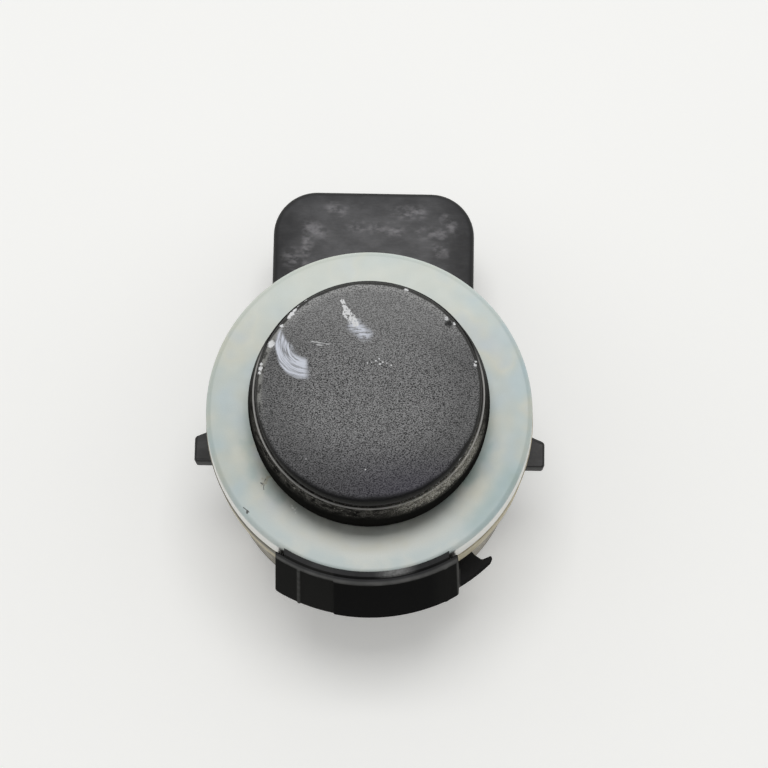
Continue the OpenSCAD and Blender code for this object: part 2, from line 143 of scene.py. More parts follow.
def tidy_mesh(mesh, weld=1e-7, sharp_deg=38):
    """Merges doubles, turns every face outwards, and shades smooth except across sharp edges."""
    work = bmesh.new()
    work.from_mesh(mesh)
    bmesh.ops.remove_doubles(work, verts=work.verts, dist=weld)
    bmesh.ops.recalc_face_normals(work, faces=work.faces)
    work.to_mesh(mesh)
    work.free()
    mesh.polygons.foreach_set("use_smooth", np.ones(len(mesh.polygons), bool))
    mesh.set_sharp_from_angle(angle=math.radians(sharp_deg))


def combine(base, steps):
    """Joins or cuts each closed shell into base, one after the other, and keeps the outcome as its mesh."""
    for operation, part in steps:
        cut = base.modifiers.new(part.name, "BOOLEAN")
        cut.solver = "EXACT"
        cut.operation = operation
        cut.object = part
    solid = bpy.data.meshes.new_from_object(base.evaluated_get(bpy.context.evaluated_depsgraph_get()))
    base.modifiers.clear()
    base.data = solid
    tidy_mesh(solid)
    for _, part in steps:
        bpy.data.objects.remove(part)
    return base


housing = shell("housing_moulding", spin(rounded(
    [(0, 0), (barrel_r, 0), (barrel_r, deck_z), (boss_r, deck_z), (boss_r, boss_z), (0, boss_z)],
    [0, rim_bevel, rim_bevel, 0.1, rim_bevel, 0]), 192))
cavity = shell("cavity_core", spin(rounded(
    [(0, -1), (cavity_r + 1 + rim_bevel, -1), (cavity_r, rim_bevel), (cavity_r, board_z),
     (ledge_r, board_z), (ledge_r, cavity_z), (passage_r, cavity_z), (passage_r, boss_z + 1),
     (0, boss_z + 1)], [0, 0, 0, 0.05, 0.05, 0.2, 0.1, 0, 0]), 192))

# Shroud round the plug's socket: far corners and upper edge are rounded, and the mouth is flared.
# Two ribs in the socket key the plug, and a catch on the far wall holds the plug's latch.
shroud_half = 7.025
shroud_far = 17.3
shroud_top = 11.0
socket_half = 5.825
socket_near, socket_far = 10.95, 16.1
socket_floor = 8.6
mouth_flare = 0.3
rib_x, rib_half, rib_low = 2.6, 0.4, 0.8
rib_near, rib_far = 15.4, 16.5
catch_root, catch_half, catch_rise = 16.7, 2.2, 0.75
catch_low, catch_crest, catch_high = 3.2, 5.4, 5.8


def oblong(half, near, far, near_r, far_r, steps):
    """Outline of an oblong across X with one radius at its near corners and one at its far corners."""
    return rounded([(-half, near), (half, near), (half, far), (-half, far)],
                   [near_r, near_r, far_r, far_r], steps)


shroud = shell("shroud_block", slab(
    oblong(shroud_half, 0, shroud_far, 1, 3.05, 14), 0, shroud_top, 0.25, 0.75, 9), caps=True)
flare = np.linspace(0, np.pi / 2, 5)
socket = shell("socket_core", loops(
    oblong(socket_half, socket_near, socket_far, 1.6, 1.6, 10),
    [-mouth_flare, *(mouth_flare * (np.sin(flare) - 1)), 0, *(mouth_flare * (1 - np.cos(flare)))],
    [-1, *(mouth_flare * (1 - np.cos(flare))), 2, *(socket_floor - mouth_flare * (1 - np.sin(flare)))],
), caps=True)
key_ribs = [
    shell(f"key_rib_{i}", slab(
        rounded([(x - rib_half, rib_near), (x + rib_half, rib_near),
                 (x + rib_half, rib_far), (x - rib_half, rib_far)], 0.15),
        rib_low, socket_floor + 0.5, 0.12, 0.12), caps=True)
    for i, x in enumerate((-rib_x, rib_x))]
catch = shell("latch_catch", slab(rounded(
    [(catch_root, catch_low), (shroud_far, catch_low), (shroud_far + catch_rise, catch_crest),
     (shroud_far + catch_rise, catch_high), (catch_root, catch_high)],
    [0.1, 0.1, 0.15, 0.12, 0.1]), -catch_half, catch_half, 0.12, 0.12)[..., [2, 0, 1]], caps=True)

# Lugs that lock the sensor in its bracket: the far face slants and the outer upper edge slopes.
root_r = 9.8
lug_tip = 11.88
lug_near, lug_far = -2.375, 0.175
lug_taper = 0.85
lug_low, lug_high = ring_z - 9.6, ring_z - 7.6
lug_bevel = 0.25


def lug(name, side):
    """Side lug: a plate whose upper points sink by how far they lie beyond the start of the slope."""
    plan = rounded([(root_r, lug_near), (lug_tip, lug_near),
                    (lug_tip, lug_far - lug_taper), (root_r, lug_far)], [0.2, 0.2, 0.24, 0.2])
    grid = slab(plan, lug_low, lug_high, 0.12, 0.15)
    share = (grid[..., 2] - lug_low) / (lug_high - lug_low)
    grid[..., 2] -= share * np.maximum(grid[..., 0] - (lug_tip - lug_bevel), 0)
    return shell(name, grid * [side, 1, 1], caps=True)


lugs = [lug("lug_left", -1), lug("lug_right", 1)]

# Clip: a tapered arm with a bead and a step on its outer face, and a lip that hooks over the ring.
clip_half, clip_spread = 5.85, 0.4
clip_low = ring_z - 10
clip_high = ring_z + 0.04
clip_foot_r, clip_top_r, clip_bore_r = 12.6, 11.36, 10.88
bead_x, bead_half, bead_rise = -4.35, 0.1, 0.07
ridge_x, ridge_half, ridge_rise = 5.1, 0.12, 0.03
step_x, step_half, step_depth = -2.1, 0.04, 0.08
lip_half, lip_rise, nick_depth = 5.3, 0.16, 0.03
lip_outer_r, lip_crest_r, lip_hook_r = 10.97, 10.8, 10.47
lip_throat_r, lip_root_r = 10.64, 10.78


def across(half, end, spots):
    """Stations across X: even ones, closer ones round each spot, and a quarter circle at both ends."""
    a = np.linspace(0, np.pi / 2, 6)
    tips = half - end * (1 - np.sin(a))
    near = [x + np.linspace(-3 * w, 3 * w, 13) for x, w in spots]
    inside = np.concatenate([np.linspace(end - half, half - end, 73), *near])
    return np.unique(np.round(np.concatenate([-tips, inside, tips]), 4))


def arc_bar(section, x, end):
    """Sections of a bar at its stations. Towards both ends the section shrinks along its normals by a
    quarter circle of radius end."""
    half = x.max()
    over = np.maximum(np.abs(x) - (half - end), 0)
    pull = end - np.sqrt(np.maximum(end**2 - over**2, 0))
    return section - outward(section) * pull[:, None, None]


def bend(x, bar):
    """Bar bent about the Z axis: a section point (r, z) at station x lies at y = -sqrt(r^2 - x^2). Below
    the ring's front x grows evenly with depth, so that the bar is wider at its foot."""
    r, z = bar[..., 0], bar[..., 1]
    depth = np.maximum(ring_z - z, 0) / (ring_z - clip_low)
    wide = x[:, None] * (1 + clip_spread / clip_half * depth)
    return np.stack([wide, -np.sqrt(r**2 - wide**2), z], axis=-1)


def swell(x, middle, half):
    """1 at the middle of a bead and 0 beyond it, as exp(-(d / half)^4)."""
    return np.exp(-((x - middle) / half) ** 4)


arm_x = across(clip_half, 0.1, [(bead_x, bead_half), (ridge_x, ridge_half), (step_x, step_half)])
arm = arc_bar(rounded(
    [(root_r, clip_low), (clip_foot_r, clip_low), (clip_top_r, clip_high),
     (clip_bore_r + 0.06, clip_high), (clip_bore_r, clip_high - 0.5), (clip_bore_r, deck_z - 0.2),
     (root_r, deck_z - 0.2)],
    [0.12, 0.16, 0.11, 0.11, 0.12, 0.12, 0.12]), arm_x, 0.1)
set_back = step_depth / (1 + np.exp((arm_x - step_x) / step_half * 3))
proud = bead_rise * swell(arm_x, bead_x, bead_half) + ridge_rise * swell(arm_x, ridge_x, ridge_half)
arm[..., 0] += np.where(arm[..., 0] > clip_bore_r + 0.2, (proud - set_back)[:, None], 0)
corner_cut = np.maximum(np.abs(arm_x) - (clip_half - 0.4), 0)
arm[..., 1] += np.where(arm[..., 1] < clip_low + 1, corner_cut[:, None], 0)
clip_arm = shell("clip_arm", bend(arm_x, arm), caps=True)

lip_x = across(lip_half, 0.03, [])
lip = arc_bar(rounded(
    [(lip_crest_r, ring_z - 1), (lip_outer_r, ring_z - 1), (lip_outer_r, ring_z - 0.04),
     (lip_crest_r, ring_z + lip_rise), (lip_hook_r, ring_z + lip_rise), (lip_hook_r, ring_z + 0.04),
     (lip_throat_r, ring_z - 0.1), (lip_root_r, ring_z - 0.4)],
    [0.035, 0.035, 0.05, 0.06, 0.05, 0.035, 0.04, 0.04], 4), lip_x, 0.03)
nicks = nick_depth * np.maximum(np.sin(lip_x * 5.1) * np.sin(lip_x * 2.3 + 1) * np.sin(lip_x * 11), 0)
lip[..., 1] -= np.where(lip[..., 1] > ring_z + 0.1, nicks[:, None], 0)
clip_lip = shell("clip_lip", bend(lip_x, lip), caps=True)

# Barb: a block on the barrel whose outer edge runs on into a pointed tip beside the clip.
barb_low, barb_high = ring_z - 12.3, ring_z - 9.6
barb_r, barb_tip_r, barb_throat_r, barb_notch_r = 12, 11.76, 11.52, 10.95
barb_root_deg, barb_edge_deg, barb_tip_deg = -62, -45, -44.3
barb_throat_deg, barb_notch_deg = -47.6, -48.4


def polar(r, deg):
    """Point of the plan at radius r and that angle."""
    return r * math.cos(math.radians(deg)), r * math.sin(math.radians(deg))


barb = shell("barb_block", slab(rounded(
    [polar(root_r, barb_root_deg),
     *[polar(barb_r, a) for a in np.linspace(barb_root_deg, barb_edge_deg, 7)],
     polar(barb_tip_r, barb_tip_deg), polar(barb_throat_r, barb_throat_deg),
     polar(barb_notch_r, barb_notch_deg), polar(root_r, barb_notch_deg)],
    [0.1, *[0.1] * 7, 0.09, 0.22, 0.3, 0.1]), barb_low, barb_high, 0.07, 0.07), caps=True)

combine(housing, [("UNION", part) for part in (shroud, catch, *lugs, clip_arm, clip_lip, barb)]
        + [("DIFFERENCE", cavity), ("DIFFERENCE", socket)]
        + [("UNION", rib) for rib in key_ribs])


class Field:
    """A value that varies over a surface: a node's output socket, to which arithmetic adds Math nodes."""

    def __init__(self, socket):
        self.socket = socket

    def node(self, kind, settings, inputs, output=0):
        """Adds a node to this field's material: its settings first, then the values or links it takes."""
        tree = self.socket.id_data
        made = tree.nodes.new("ShaderNode" + kind)
        for key, value in settings.items():
            if key == "stops":
                ramp = made.color_ramp.elements
                while len(ramp) < len(value):
                    ramp.new(0.5)
                for stop, (position, colour) in zip(ramp, value):
                    stop.position, stop.color = position, colour
            else:
                setattr(made, key, value)
        for key, value in inputs.items():
            if isinstance(value, Field):
                tree.links.new(value.socket, made.inputs[key])
            else:
                made.inputs[key].default_value = value
        return Field(made.outputs[output])

    def math(self, operation, *values):
        """A Math node on those values."""
        return self.node("Math", {"operation": operation}, dict(enumerate(values)))

    def vector(self, operation, *values):
        """A Vector Math node on those values."""
        return self.node("VectorMath", {"operation": operation}, dict(enumerate(values)))

    def __add__(self, other):
        return self.math("ADD", self, other)

    def __sub__(self, other):
        return self.math("SUBTRACT", self, other)

    def __rsub__(self, other):
        return self.math("SUBTRACT", other, self)

    def __mul__(self, other):
        return self.math("MULTIPLY", self, other)

    def __truediv__(self, other):
        return self.math("DIVIDE", self, other)

    def __or__(self, other):
        return self.math("MAXIMUM", self, other)

    __radd__ = __add__
    __rmul__ = __mul__


def srgb(red, green, blue):
    """Linear colour of a screen colour given as 0 to 255."""
    level = np.array([red, green, blue]) / 255
    linear = np.where(level <= 0.04045, level / 12.92, ((level + 0.055) / 1.055) ** 2.4)
    return (*linear.tolist(), 1.0)


def new_finish(name, constants):
    """Material with those constants on its shader. Also returns the shader and the place in millimetres."""
    material = bpy.data.materials.new(name)
    material.use_nodes = True
    shader = material.node_tree.nodes["Principled BSDF"]
    for key, value in constants.items():
        shader.inputs[key].default_value = value
    coordinates = material.node_tree.nodes.new("ShaderNodeTexCoord")
    place = Field(coordinates.outputs["Object"])
    return material, shader, place.node("VectorMath", {"operation": "SCALE"}, {0: place, "Scale": 1 / mm})


def feed(shader, fields):
    """Links each field to the shader's socket of that name."""
    for key, field in fields.items():
        shader.id_data.links.new(field.socket, shader.inputs[key])


def axes(field):
    """The x, y and z of a vector."""
    split = field.node("SeparateXYZ", {}, {0: field}).socket.node
    return [Field(output) for output in split.outputs]


def radius(x, y):
    """Distance from a point of the plan, as sqrt(x^2 + y^2)."""
    return x.math("SQRT", x * x + y * y)


def noise(place, size, detail=2.0, stretch=(1, 1, 1), output="Fac"):
    """Random field from 0 to 1 with features of about that size in millimetres, drawn out along each axis
    whose stretch is below 1."""
    spot = place.vector("MULTIPLY", place, stretch)
    return spot.node("TexNoise", {}, {"Vector": spot, "Scale": 1 / size, "Detail": detail}, output)


def rise(field, start, end):
    """Smooth step from 0 at start to 1 at end. A start above the end makes it fall."""
    return field.node("MapRange", {"interpolation_type": "SMOOTHSTEP"},
                      {"Value": field, "From Min": start, "From Max": end})


def blend(share, under, cover):
    """Colour between under, at share 0, and cover, at share 1."""
    return share.node("Mix", {"data_type": "RGBA"}, {0: share, 6: under, 7: cover}, 2)


def bump(height, depth):
    """Normal over a height field, where a height of 1 is that depth in millimetres."""
    return height.node("Bump", {}, {"Height": height, "Distance": depth * mm})


def ragged(place, size, reach):
    """The place moved about by noise, so that an edge drawn with it is uneven."""
    drift = noise(place, size, 3.0, output="Color")
    return place.node("VectorMath", {"operation": "MULTIPLY_ADD"},
                      {0: drift.vector("SUBTRACT", drift, (0.5, 0.5, 0.5)), 1: (reach,) * 3, 2: place})


def stroke(place, start, end, half, soft=0.5):
    """Mark along the line from start to end: 1 within half of it, fading over the outer soft share.
    The nearest point of the line is at t = (p - start) . d / |d|^2, held between 0 and 1."""
    run = np.array(end, float) - np.array(start, float)
    offset = place.vector("SUBTRACT", place, start)
    share = Field(offset.vector("DOT_PRODUCT", offset, tuple(run)).socket.node.outputs["Value"])
    held = share.node("Math", {"operation": "MULTIPLY", "use_clamp": True}, {0: share, 1: 1 / (run @ run)})
    along = place.node("VectorMath", {"operation": "SCALE"}, {0: tuple(run), "Scale": held})
    gap = offset.vector("DISTANCE", offset, along).socket.node.outputs["Value"]
    return rise(Field(gap), half, half * (1 - soft))


def any_of(masks):
    """The strongest of several masks."""
    whole = masks[0]
    for mask in masks[1:]:
        whole = whole | mask
    return whole


def strokes(place, level, soft, marks):
    """The strongest of several strokes at one level, each with its start, its end and its half width."""
    return any_of([stroke(place, (*start, level), (*end, level), half, soft) for start, end, half in marks])


def black_nylon():
    """Black nylon: fine moulding grain; on what faces up a pale tone, partly dust and partly painted sheen,
    with soft scuffs;
    painted highlights with some wear along the clip's edges and painted light on its facets; pale streaks
    on the barrel beside the clip, dried splashes that also stand in for a painted reflection of the table;
    and a faint shine on the walls that stayed clean."""
    material, shader, place = new_finish("black_nylon", {
        "IOR": 1.5, "Specular IOR Level": 0.0, "Coat Roughness": 0.42, "Coat IOR": 1.5})
    x, y, z = axes(place)
    sideways = x.math("ABSOLUTE", x)
    r = radius(x, y)
    top = rise(axes(place.node("NewGeometry", {}, {}, "Normal"))[2], 0.6, 0.95)
    grain = noise(place, 0.16, 3.0)
    cloud = rise(noise(place, 1.1, 4.0, (0.7, 1, 1)), 0.32, 0.7)
    fibres = rise(noise(place, 0.2, 3.0, (0.4, 1.3, 1)), 0.4, 0.7)

    scuffs = strokes(ragged(place, 0.6, 0.7), shroud_top, 1.0, (
        ((-1.4, 14.7), (-0.5, 14.6), 0.65), ((0.3, 14.7), (1.7, 14.5), 0.715),
        ((1.5, 15.7), (3.2, 15.8), 0.78), ((3.3, 14.3), (4.8, 14.3), 0.65),
        ((4.4, 13.1), (4.8, 13.1), 0.78), ((5.1, 15.3), (5.5, 14.6), 0.65),
        ((-4.5, 13.8), (-4.8, 12.9), 0.65), ((-5.7, 12.5), (-5.0, 11.9), 1.04),
        ((-3.0, 16.0), (-2.3, 15.9), 0.78), ((-4.5, 14.6), (-3.6, 14.3), 0.78)))
    streaked = rise(noise(place, 0.32, 5.0, (0.55, 1, 1)), 0.38, 0.7)
    front = rise(y, -7, -8.5)
    inside = (rise(sideways, shroud_half - 0.1, shroud_half - 3.8)
              * rise(y, shroud_far + 0.6, shroud_far - 2))
    lug_tops = 0.55 * rise(sideways, 9, 10) + 0.3 * rise(x, 9, 10)
    # Painted sheen with dust: what faces up is made paler, for the softbox's sheen as well as for dust,
    # less on the clip's front.
    dust_and_sheen = (top * (0.42 + 0.58 * (inside | lug_tops)) * (0.72 + 0.28 * cloud)
             * (1 - 0.7 * front) * (0.9 + 0.1 * fibres))

    # The clip's marks follow its edges, which spread towards the foot.
    unleaned = x / (1 + (ring_z - z) * (clip_spread / clip_half / (ring_z - clip_low)))
    # Painted light: the clip's front is made a little lighter left of the step and round the ridge, where
    # its facets catch more light.
    facet_light = rise(unleaned, step_x + 0.1, step_x - 0.1) | 0.6 * rise(unleaned, ridge_x - 1.2, ridge_x)
    bead = unleaned - bead_x
    edge = unleaned - clip_half
    # Painted highlights with some wear: pale lines along the clip's top edge, its bead and its side edges.
    edge_wear_and_highlight = front * rise(r, 11.05, 11.2) * any_of([
        rise(z, clip_high - 0.2, clip_high - 0.03) * (0.35 + 0.35 * cloud),
        rise(bead.math("ABSOLUTE", bead), 0.15, 0.05) * (0.35 + 0.2 * cloud),
        rise(edge.math("ABSOLUTE", edge), 0.12, 0.03) * 0.5])
    rubbed_lip = (strokes(place, ring_z + lip_rise, 1.0, [((1.8, -10.45), (2.0, -10.4), 1.5)])
                  * rise(r, 10.95, 10.85) * (0.05 + 0.5 * grain))
    patchy = ragged(place, 2.5, 4.0)
    speckle = rise(noise(place, 0.3, 5.0), 0.3, 0.65)
    # Pale streaks on the barrel beside the clip and towards the near side: dried splashes that also stand
    # in for a painted reflection of the table.
    splash_and_reflection_streaks = any_of([stroke(patchy, (beside, -6.9, ring_z - 7), (beside, -6.9, ring_z - 18), 4.8, 0.8)
                     for beside in (-7.8, 7.8)])
    splashes_and_reflection = ((splash_and_reflection_streaks | 0.3 * rise(y, 2, -8)) * rise(r, barrel_r + 0.12, barrel_r + 0.06)
            * rise(r, barrel_r - 0.3, barrel_r - 0.2) * rise(z, deck_z, deck_z - 0.5)
            * (0.4 + 0.25 * cloud + 0.3 * speckle))
    clean = (1 - top) * rise(y, -7, -5) * (1 - splashes_and_reflection)

    colour = blend(front * facet_light, srgb(33, 33, 33), srgb(45, 45, 44))
    colour = blend(dust_and_sheen, colour, srgb(107, 107, 109))
    colour = blend(top * scuffs * streaked * 0.38, colour, srgb(178, 176, 180))
    colour = blend(edge_wear_and_highlight, colour, srgb(112, 112, 110))
    colour = blend(rubbed_lip, colour, srgb(205, 206, 204))
    colour = blend(splashes_and_reflection, colour, srgb(218, 213, 201))
    feed(shader, {
        "Base Color": colour,
        "Roughness": 0.42 + 0.2 * grain + 0.12 * dust_and_sheen,
        "Coat Weight": 0.45 * clean,
        "Normal": bump(grain + 0.4 * cloud, 0.012),
    })
    return material


def fit(piece, material, slot, *nodes):
    """Gives a piece its finish, seats it on the part and lets it stand for nodes. The slot argument is not
    used.
    """
    piece.data.materials.clear()
    piece.data.materials.append(material)
    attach(piece, "root")
    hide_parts(*nodes)


fit(housing, black_nylon(), "housing_plastic", "housing")

# Terminals: three square brass wires, tin plated and bent twice, that the housing is moulded round.
# Each has a pin with a tapered tip in the socket and a leg that is soldered into the board.
pin_half = 0.32
pin_corner = 0.07
pin_y, leg_y = 13.5, 6.9
tip_z, run_z, stub_z = 4.6, 9.62, 5.4
pin_bend_r = 0.55
taper_l = 0.9


def carry(section, path, scale):
    """Section carried along a path in the YZ plane: point = path + a X + b N, where N is square to the
    path's direction, and a and b are the section's points times the scale at that station."""
    run = np.gradient(path, axis=0)
    run /= np.linalg.norm(run, axis=1, keepdims=True)
    side = np.stack([-run[:, 1], run[:, 0]], axis=1)
    a = section[None, :, 0] * scale[:, None]
    b = section[None, :, 1] * scale[:, None]
    return np.stack([a, path[:, :1] + b * side[:, :1], path[:, 1:] + b * side[:, 1:]], axis=-1)


def tinned_brass():
    """Tin over brass: bright and a little streaked along the wire, with darker dull patches."""
    material, shader, place = new_finish("tinned_brass", {"Metallic": 1.0})
    streak = noise(place, 0.2, 3.0, (3, 3, 0.4))
    dull = rise(noise(place, 0.5, 3.0), 0.45, 0.7)
    feed(shader, {
        "Base Color": blend(dull, srgb(214, 211, 202), srgb(160, 152, 136)),
        "Roughness": 0.22 + 0.2 * streak + 0.12 * dull,
        "Normal": bump(streak, 0.006),
    })
    return material


bends = rounded([(pin_y, tip_z), (pin_y, run_z), (leg_y, run_z), (leg_y, stub_z)],
                [0, pin_bend_r, pin_bend_r, 0], 8)
travelled = np.concatenate([[0], np.cumsum(np.linalg.norm(np.diff(bends, axis=0), axis=1))])
stations = np.unique(np.concatenate([
    np.linspace(0, taper_l, 7), travelled, travelled[-1] - np.linspace(0, 0.3, 4)]).round(4))
wire = np.stack([np.interp(stations, travelled, bends[:, i]) for i in (0, 1)], axis=1)
taper = 1 - 0.6 * (1 - np.clip(stations / taper_l, 0, 1)) ** 1.5
wire_section = rounded([(-pin_half, -pin_half), (pin_half, -pin_half), (pin_half, pin_half),
                        (-pin_half, pin_half)], pin_corner, 3)
tin = tinned_brass()
for name in ("terminal_supply", "terminal_signal", "terminal_ground"):
    low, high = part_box(name)
    terminal = carry(wire_section, wire, taper) + [(low.x + high.x) / 2 / mm, 0, 0]
    fit(shell(name + "_wire", terminal, caps=True), tin, "terminal", name)


def dress(node, material):
    """Gives a CAD node that is kept as it is its finish."""
    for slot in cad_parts[node].material_slots:
        slot.material = material


# Circuit board: a round glass-epoxy board with green resist, glued against the ledge in the barrel.
# The drive transformer stands on it, and the chip and the small parts are soldered to both sides.
def green_board():
    """Green solder resist over a faint weave, with paler tracks where copper lies under it."""
    material, shader, place = new_finish("green_board", {"Roughness": 0.35})
    x, y, _ = axes(place)
    weave = x.math("SINE", x * 12) * y.math("SINE", y * 12)
    layout = noise(place, 1.4, 0.0)
    tracks = rise(layout.math("PINGPONG", layout, 0.12), 0.05, 0.07)
    feed(shader, {
        "Base Color": blend(tracks, srgb(22, 74, 46), srgb(44, 108, 66)),
        "Normal": bump(weave * 0.5 + tracks, 0.02),
    })
    return material


def cast_part(name, dark, light, roughness, size=0.4):
    """Moulded, pressed or fired part: two close tones in fine clouds, and a surface to match."""
    material, shader, place = new_finish(name, {})
    cloud = noise(place, size, 4.0)
    grit = noise(place, size / 5, 3.0)
    feed(shader, {
        "Base Color": blend(rise(cloud, 0.35, 0.65), srgb(*dark), srgb(*light)),
        "Roughness": roughness + 0.2 * (grit - 0.5),
        "Normal": bump(grit, 0.015),
    })
    return material


def copper_winding():
    """Enamelled copper wire: turns of 0.18 mm stacked up the bobbin, each a round ridge, painted darker
    where the turns meet as painted shade.
    """
    material, shader, place = new_finish("copper_winding", {"Metallic": 1.0, "Roughness": 0.3})
    height = axes(place)[2] / 0.18
    ridge = height.math("PINGPONG", height, 0.5)
    feed(shader, {
        "Base Color": blend(rise(ridge, 0.0, 0.3), srgb(92, 42, 18), srgb(196, 112, 58)),
        "Normal": bump(ridge, 0.08),
    })
    return material


dress("circuit_board", green_board())
dress("transformer_core", cast_part("ferrite", (40, 41, 44), (62, 62, 66), 0.5))
dress("transformer_winding", copper_winding())
epoxy = cast_part("chip_epoxy", (24, 25, 28), (38, 39, 43), 0.55)
for name in ("driver_chip", "protection_diode"):
    dress(name, epoxy)
dress("storage_capacitor", cast_part("tantalum_case", (168, 122, 36), (196, 148, 58), 0.5))
dress("ceramic_capacitors", cast_part("ceramic_chip", (150, 122, 84), (182, 152, 110), 0.4, 0.2))
dress("resistors", cast_part("resistor_body", (24, 25, 28), (46, 46, 48), 0.45, 0.2))

# Transducer: a piezo disc is bonded behind the membrane and two wires lead from it to the board.
# A foam rubber plug pressed into the cup damps the back of it.
dress("piezo_disc", cast_part("piezo_ceramic", (176, 160, 118), (200, 186, 146), 0.45, 0.2))
dress("damping_plug", cast_part("foam_rubber", (120, 122, 124), (160, 161, 163), 0.85, 0.25))
dress("lead_live", cast_part("red_insulation", (150, 22, 30), (186, 38, 44), 0.4))
dress("lead_ground", cast_part("black_insulation", (30, 30, 32), (48, 48, 50), 0.4))

# Membrane cup: impact-extruded aluminium with a thin flat front that vibrates. The head is painted dark
# grey; stones have chipped its edge and two scrapes across the face show bare metal.
face_z = levels("membrane_cup")[1]
cup_rim_z = levels("membrane_cup")[0]
head_r, head_edge, crown = 7.05, 0.35, 0.12
scrape_x, scrape_y = -3.9, 2.9
head_z = face_z - 0.9
cup_r, cup_bore_r = 6.7, 5.6
chamber_r, chamber_half_w = 5.2, 4.2
chamber_z = face_z - 0.7
chamber_floor_z = chamber_z - 4
# Chips in the paint at the edge: place on the face in x and y, radius and depth.
chips = [
    (-4.9, 4.86, 0.17, 0.05), (-5.06, 4.66, 0.13, 0.05), (-4.72, 5.12, 0.15, 0.05),
    (-4.5, 5.4, 0.09, 0.03), (-6.14, 2.92, 0.22, 0.06), (-6.72, 1.62, 0.1, 0.04),
    (-6.76, 1.36, 0.15, 0.05), (-6.8, 1.08, 0.11, 0.04), (2.24, 6.52, 0.12, 0.04),
    (6.62, 1.8, 0.1, 0.04), (6.62, 2.04, 0.08, 0.03), (4.76, 4.72, 0.12, 0.05),
    (5.28, 4.4, 0.1, 0.04), (-4.05, 5.75, 0.08, 0.02), (-5.5, 4.06, 0.1, 0.03),
    (5.74, -4.1, 0.1, 0.03),
]
# Dent where a stone took the paint and some metal with it, given in the same way.
dent = (4.93, 4.4, 0.36, 0.12)


def sunk(r):
    """How far the head lies below the face's middle at radius r: a crown that grows as the fourth power
    of the radius, and a quarter circle at the edge."""
    over = np.clip(r - (head_r - head_edge), 0, head_edge)
    return crown * (r / head_r) ** 4 + head_edge - np.sqrt(head_edge**2 - over**2)


def on_head(x, y):
    """Height of the head's surface above a place."""
    return float(face_z - sunk(math.hypot(x, y)))


def cup_grid(columns):
    """Cup turned about Z, its chamber flattened to half a width w by r = min(r, w / |sin t|), and its head
    pressed in along the surface normal by depth exp(-(d / radius)^2) at each chip."""
    r = np.concatenate([np.linspace(0, head_r - head_edge, 60),
                        head_r - head_edge * (1 - np.sin(np.linspace(0, np.pi / 2, 25)[1:]))])
    head = np.stack([r, face_z - sunk(r)], axis=1)
    profile = np.concatenate([head, rounded(
        [head[-1], (head_r, head_z), (cup_r, head_z), (cup_r, cup_rim_z), (cup_bore_r, cup_rim_z),
         (cup_bore_r, chamber_floor_z), (chamber_r, chamber_floor_z), (chamber_r, chamber_z),
         (0, chamber_z)],
        [0, 0.02, 0.05, 0.1, 0.1, 0.05, 0.1, 0.3, 0])])
    grid = spin(profile, columns)
    x, y, z = np.moveaxis(grid, -1, 0)
    r = np.maximum(np.hypot(x, y), 1e-9)
    inside = (z > chamber_floor_z + 0.1) & (z < face_z - 0.3) & (r < chamber_r + 0.01)
    flat = np.where(inside, np.minimum(1, chamber_half_w / np.maximum(np.abs(y), 1e-9)), 1)
    grid[..., :2] *= flat[..., None]
    core = np.stack([x, y, 0 * z], axis=-1) * np.minimum(1, (head_r - head_edge) / r)[..., None]
    core[..., 2] = face_z - head_edge
    normal = grid - core
    normal /= np.maximum(np.linalg.norm(normal, axis=-1, keepdims=True), 1e-9)
    places = np.array([(cx, cy, on_head(cx, cy), size, depth) for cx, cy, size, depth in [*chips, dent]])
    apart = ((grid[:, :, None] - places[:, :3]) ** 2).sum(-1)
    press = (places[:, 4] * np.exp(-apart / places[:, 3] ** 2)).sum(-1)
    return grid - normal * np.where(z > head_z + 0.02, press, 0)[..., None]


def spot(place, centre, size, soft=0.5):
    """Round mark: 1 near its centre and 0 at that distance from it, fading over the outer soft share."""
    gap = place.vector("DISTANCE", place, centre).socket.node.outputs["Value"]
    return rise(Field(gap), size, size * (1 - soft))


